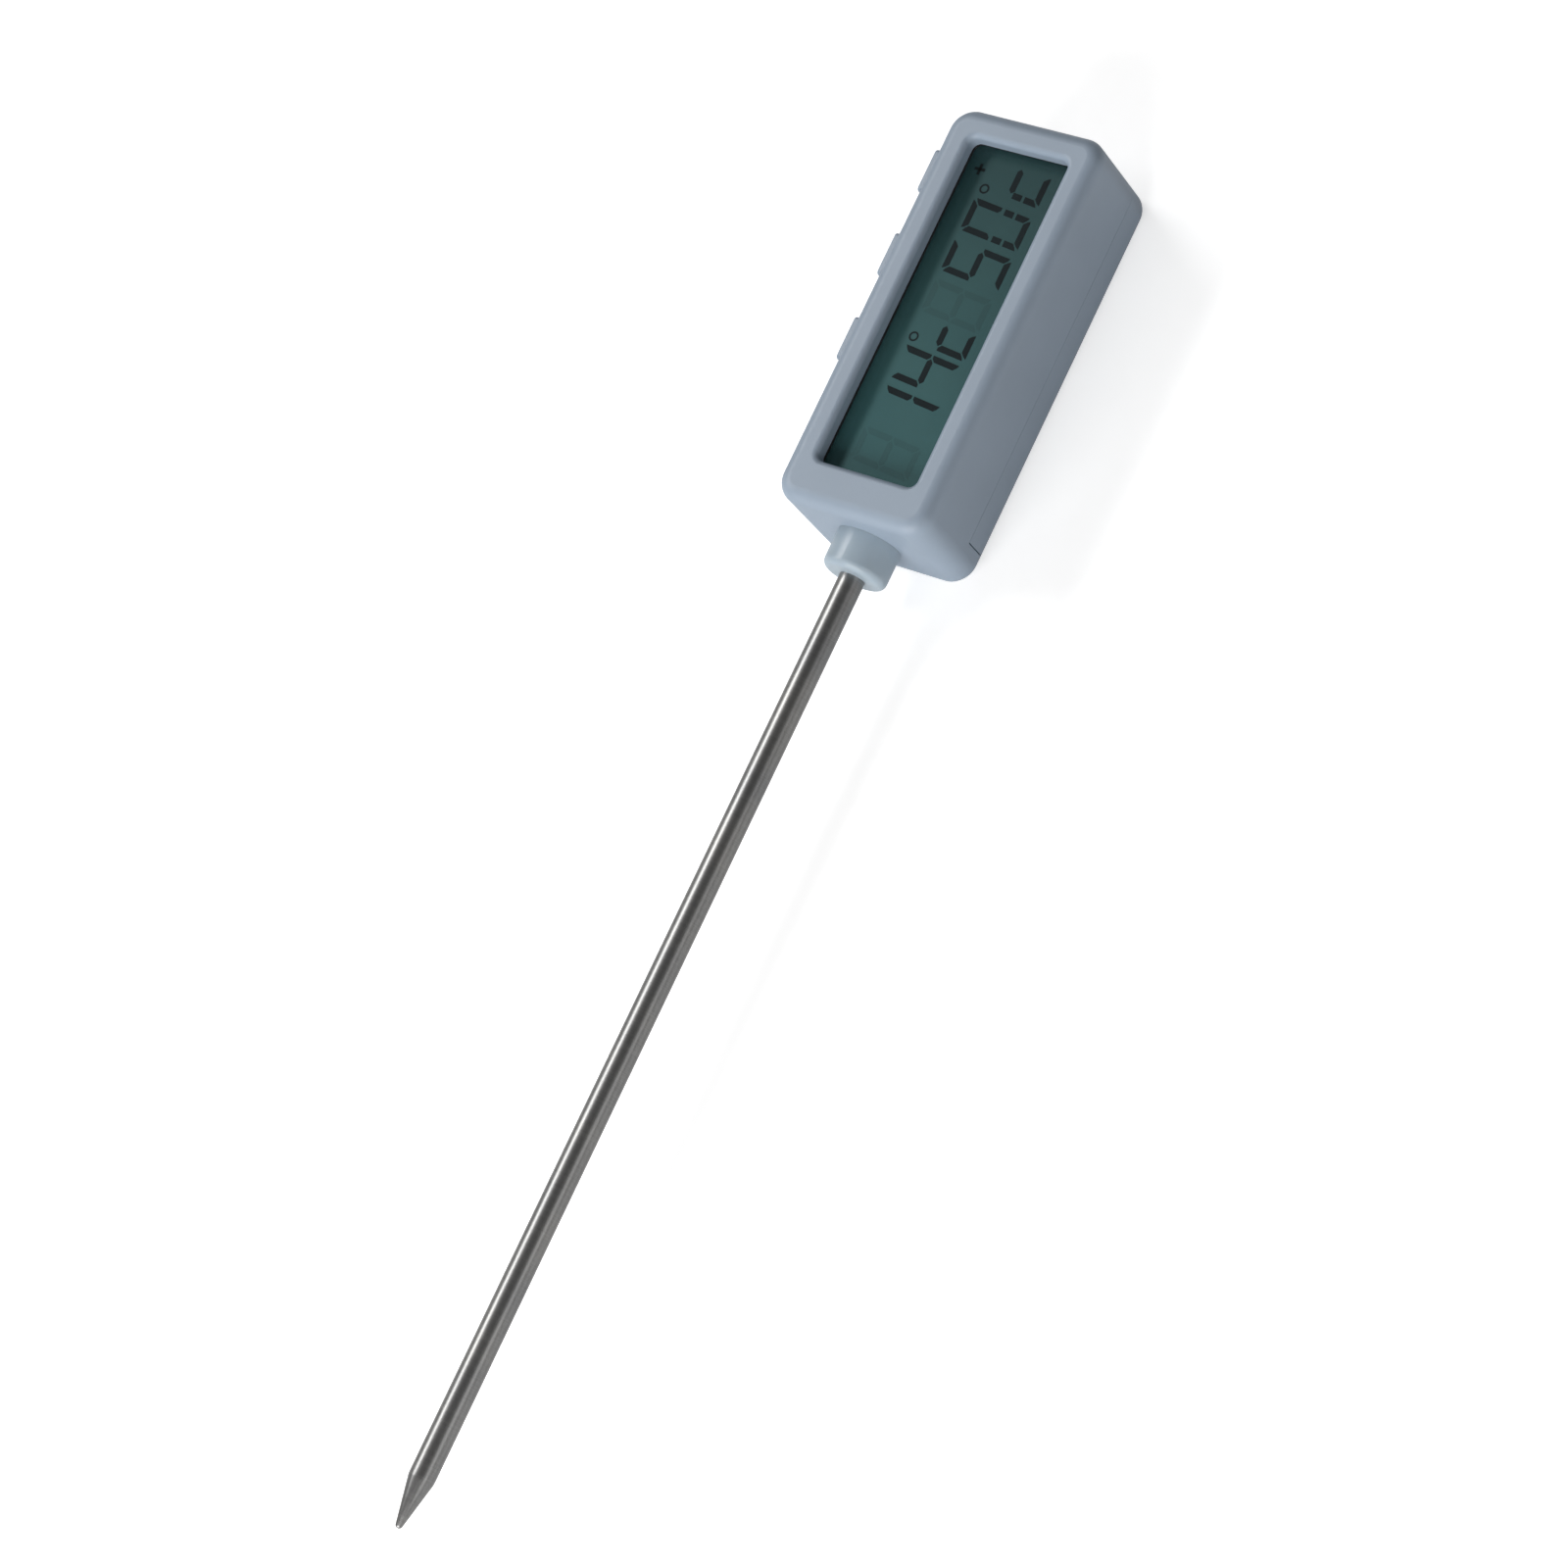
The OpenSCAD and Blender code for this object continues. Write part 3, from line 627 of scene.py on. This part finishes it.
def add_reading():
    mesh = bmesh.new()
    for glyph, centre, half_width, split in READING:
        for bar in DIGITS[glyph]:
            parts = SPLITS[bar] if split and bar in SPLITS else ((0, 1),)
            for part in parts:
                outline = bar_outline(bar, half_width * MM, part)
                prism(mesh, outline, HEAD_END + centre * MM, 0)
    for x, y in DEGREE_MARKS:
        for i in range(RING_SIDES):
            a, b = (2 * math.pi * k / RING_SIDES for k in (i, i + 1))
            corners = (RING_INNER, a), (RING_OUTER, a), (RING_OUTER, b), (RING_INNER, b)
            slice_points = [(r * MM * math.cos(t), r * MM * math.sin(t)) for r, t in corners]
            prism(mesh, slice_points, HEAD_END + x * MM, y * MM)
    for dx, dy in ((CROSS_ARM, CROSS_HALF_WIDTH), (CROSS_HALF_WIDTH, CROSS_ARM)):
        cross = [(-dx * MM, -dy * MM), (dx * MM, -dy * MM), (dx * MM, dy * MM),
                 (-dx * MM, dy * MM)]
        prism(mesh, cross, HEAD_END + CROSS_PLACE[0] * MM, CROSS_PLACE[1] * MM)
    return finish_mesh("display_segments", mesh, segment_ink, "head")


segments = add_reading()
print("faces in the reading:", len(segments.data.polygons))

# %% [markdown]
# Bars that are off still show on such a display as faint ghosts. They are the same bars,
# in an ink one shade darker than the film.

# %% Ghost bars
GHOST_PLACES = (11.65, 36.4)
GHOST_THICKNESS = INK_THICKNESS / 3


def add_ghosts():
    mesh = bmesh.new()
    for centre in GHOST_PLACES:
        for bar in DIGITS["8"]:
            outline = bar_outline(bar, DIGIT_HALF_WIDTH)
            prism(mesh, outline, HEAD_END + centre * MM, 0, GHOST_THICKNESS)
    return finish_mesh("display_ghosts", mesh, ghost_film, "head")


ghosts = add_ghosts()
print("faces in the ghosts:", len(ghosts.data.polygons))

# %% [markdown]
# ## The pieces inside
# Inside are a black tray, the cell in its sleeve, tinned contacts and the green circuit
# board with its parts, and the open battery door shows some of them. Each is a plain shape,
# so the finish does the work. One table gives each node its finish, and only the circuit
# board has a cell of its own.

# %% Finishes of the inner pieces
black_plastic = plain_finish("black_plastic", (0.025, 0.027, 0.031), 0.5, variation=0.15)
white_plastic = plain_finish("white_plastic", (0.70, 0.69, 0.66), 0.45)
tinned = plain_finish("tinned_steel", (0.60, 0.60, 0.59), 0.3, metallic=1.0, variation=0.1)
zinc = plain_finish("zinc_plated", (0.55, 0.56, 0.58), 0.35, metallic=1.0, variation=0.12)
nickel = plain_finish("nickel_can", (0.62, 0.59, 0.53), 0.25, metallic=1.0, variation=0.05)
sleeve_film = plain_finish("shrink_sleeve", (0.05, 0.12, 0.26), 0.25, variation=0.1)
foam = plain_finish("black_foam", (0.015, 0.015, 0.016), 0.85, grain=1500, depth=0.00008)
silicone = plain_finish("layered_silicone", (0.50, 0.26, 0.29), 0.5, grain=2000)
epoxy = plain_finish("black_epoxy", (0.012, 0.012, 0.014), 0.18, variation=0.3)
ceramic = plain_finish("chip_ceramic", (0.16, 0.12, 0.08), 0.4, variation=0.25)
paste = plain_finish("heat_paste", (0.72, 0.69, 0.60), 0.6, grain=900, depth=0.00005)
red_wire = plain_finish("red_insulation", (0.42, 0.03, 0.025), 0.35)
white_wire = plain_finish("white_insulation", (0.72, 0.72, 0.71), 0.35)
glass_finish = plain_finish("display_glass", (0.30, 0.40, 0.38), 0.1, variation=0.1)
INNER = {
    "battery_tray": black_plastic, "button_switches": black_plastic,
    "power_plunger": white_plastic, "mode_plunger": white_plastic,
    "unit_plunger": white_plastic, "display_frame": white_plastic,
    "battery_spring": tinned, "battery_contact_minus": tinned,
    "battery_contact_plus": tinned, "crystal": tinned, "chassis_screws": zinc,
    "stem_retainer": zinc, "battery_cell": nickel, "battery_sleeve": sleeve_film,
    "window_gasket": foam, "stem_gasket": foam, "zebra_strip": silicone,
    "chip_blob": epoxy, "thermistor_bead": epoxy, "chip_parts": ceramic,
    "tip_filler": paste, "probe_lead_a": red_wire, "probe_lead_b": white_wire,
    "display_front_glass": glass_finish, "display_rear_glass": glass_finish,
    "display_reflector": film,
}
for node, material in INNER.items():
    paint(node, material)
print("inner pieces painted:", len(INNER))

# %% [markdown]
# The circuit board shows copper tracks as lighter green lines under its solder mask. Drawing
# them as meshes would be slow for a piece that hardly shows. The joints between the bricks
# of a brick pattern run straight and turn at right angles, much as routed tracks do.

# %% Circuit board
TRACK_SCALE = 260
TRACK_WIDTH = 0.012
board_finish, board_tree, board_shader = new_finish("solder_mask")
where = board_tree.nodes.new("ShaderNodeTexCoord")
tracks = board_tree.nodes.new("ShaderNodeTexBrick")
tracks.inputs["Scale"].default_value = TRACK_SCALE
tracks.inputs["Mortar Size"].default_value = TRACK_WIDTH
tracks.inputs["Color1"].default_value = (0.010, 0.075, 0.030, 1)
tracks.inputs["Color2"].default_value = (0.013, 0.085, 0.034, 1)
tracks.inputs["Mortar"].default_value = (0.035, 0.17, 0.065, 1)
board_tree.links.new(where.outputs["Object"], tracks.inputs["Vector"])
board_tree.links.new(tracks.outputs["Color"], board_shader.inputs["Base Color"])
board_shader.inputs["Roughness"].default_value = 0.35
bump(board_tree, board_shader, tracks.outputs["Fac"], distance=0.00003, strength=0.4)
paint("circuit_board", board_finish)
unpainted = [n for n, o in nodes.items() if o.data.materials[0].name not in
             [m.name for m in bpy.data.materials if m.use_nodes]]
print("nodes without a finish:", unpainted)

# %% [markdown]
# ## Floor and light
# The thermometer lies on a plain white floor. The floor is kept white by its own colour and
# a little glow that only the camera sees, so the glow doesn't light the object, and the
# object's shadow stays on the floor.

# %% Floor
FLOOR_HALF_SIZE = 3
FLOOR_DROP = 0.2 * MM
FLOOR_GLOW = 0.55
FLOOR_DARK = (0.80, 0.80, 0.80)
FLOOR_LIGHT = (0.82, 0.82, 0.82)


def white_floor():
    material, tree, shader = new_finish("white_floor")
    grain = object_noise(tree, scale=300, detail=2)
    tree.links.new(tone(tree, grain, FLOOR_DARK, FLOOR_LIGHT), shader.inputs["Base Color"])
    shader.inputs["Roughness"].default_value = 0.9
    shader.inputs["Specular IOR Level"].default_value = 0.0
    path = tree.nodes.new("ShaderNodeLightPath")
    strength = tree.nodes.new("ShaderNodeMath")
    strength.operation = "MULTIPLY"
    strength.inputs[1].default_value = FLOOR_GLOW
    tree.links.new(path.outputs["Is Camera Ray"], strength.inputs[0])
    shader.inputs["Emission Color"].default_value = (1, 1, 1, 1)
    tree.links.new(strength.outputs[0], shader.inputs["Emission Strength"])
    return material


mesh = bmesh.new()
bmesh.ops.create_grid(mesh, x_segments=4, y_segments=4, size=FLOOR_HALF_SIZE)
floor_data = bpy.data.meshes.new("floor")
mesh.to_mesh(floor_data)
mesh.free()
floor_data.materials.append(white_floor())
floor = bpy.data.objects.new("floor", floor_data)
floor.location.z = -FLOOR_DROP
bpy.context.scene.collection.objects.link(floor)
print("floor at", floor.location.z)

# %% [markdown]
# A long, narrow lamp stands high on the button side, so the display's deep rim throws its
# shadow onto the film. A large one lights the stem end, and a weaker one fills the other
# side. Point lamps would leave hard, small highlights on the steel. Area lamps give the
# long soft ones of a studio.

# %% Lamps and world
LAMP_AIM = Vector((-50, 0, 0)) * MM
WORLD_STRENGTH = 0.10


def add_lamp(name, direction, distance, length, width, power):
    """A soft box that looks at the thermometer, with its length as level as it can be."""
    data = bpy.data.lights.new(name, "AREA")
    data.shape = "RECTANGLE"
    data.size = length
    data.size_y = width
    data.energy = power
    lamp = bpy.data.objects.new(name, data)
    place = Vector(direction).normalized() * distance + LAMP_AIM
    lamp.matrix_world = (Matrix.Translation(place) @
                         Vector(direction).to_track_quat("Z", "Y").to_matrix().to_4x4())
    bpy.context.scene.collection.objects.link(lamp)
    return lamp


add_lamp("key", (0.22, 1.0, 1.0), distance=1.4, length=1.1, width=0.26, power=11)
add_lamp("stem_end_fill", (-1.0, -0.05, 0.45), distance=0.9, length=0.8, width=0.7, power=8.2)
add_lamp("side_fill", (-0.2, -1.0, 0.45), distance=1.3, length=0.9, width=0.5, power=2.5)

world = bpy.data.worlds.new("studio")
world.use_nodes = True
background = world.node_tree.nodes["Background"]
background.inputs["Color"].default_value = (1, 1, 1, 1)
background.inputs["Strength"].default_value = WORLD_STRENGTH
bpy.context.scene.world = world
bpy.context.scene.view_settings.view_transform = "Standard"
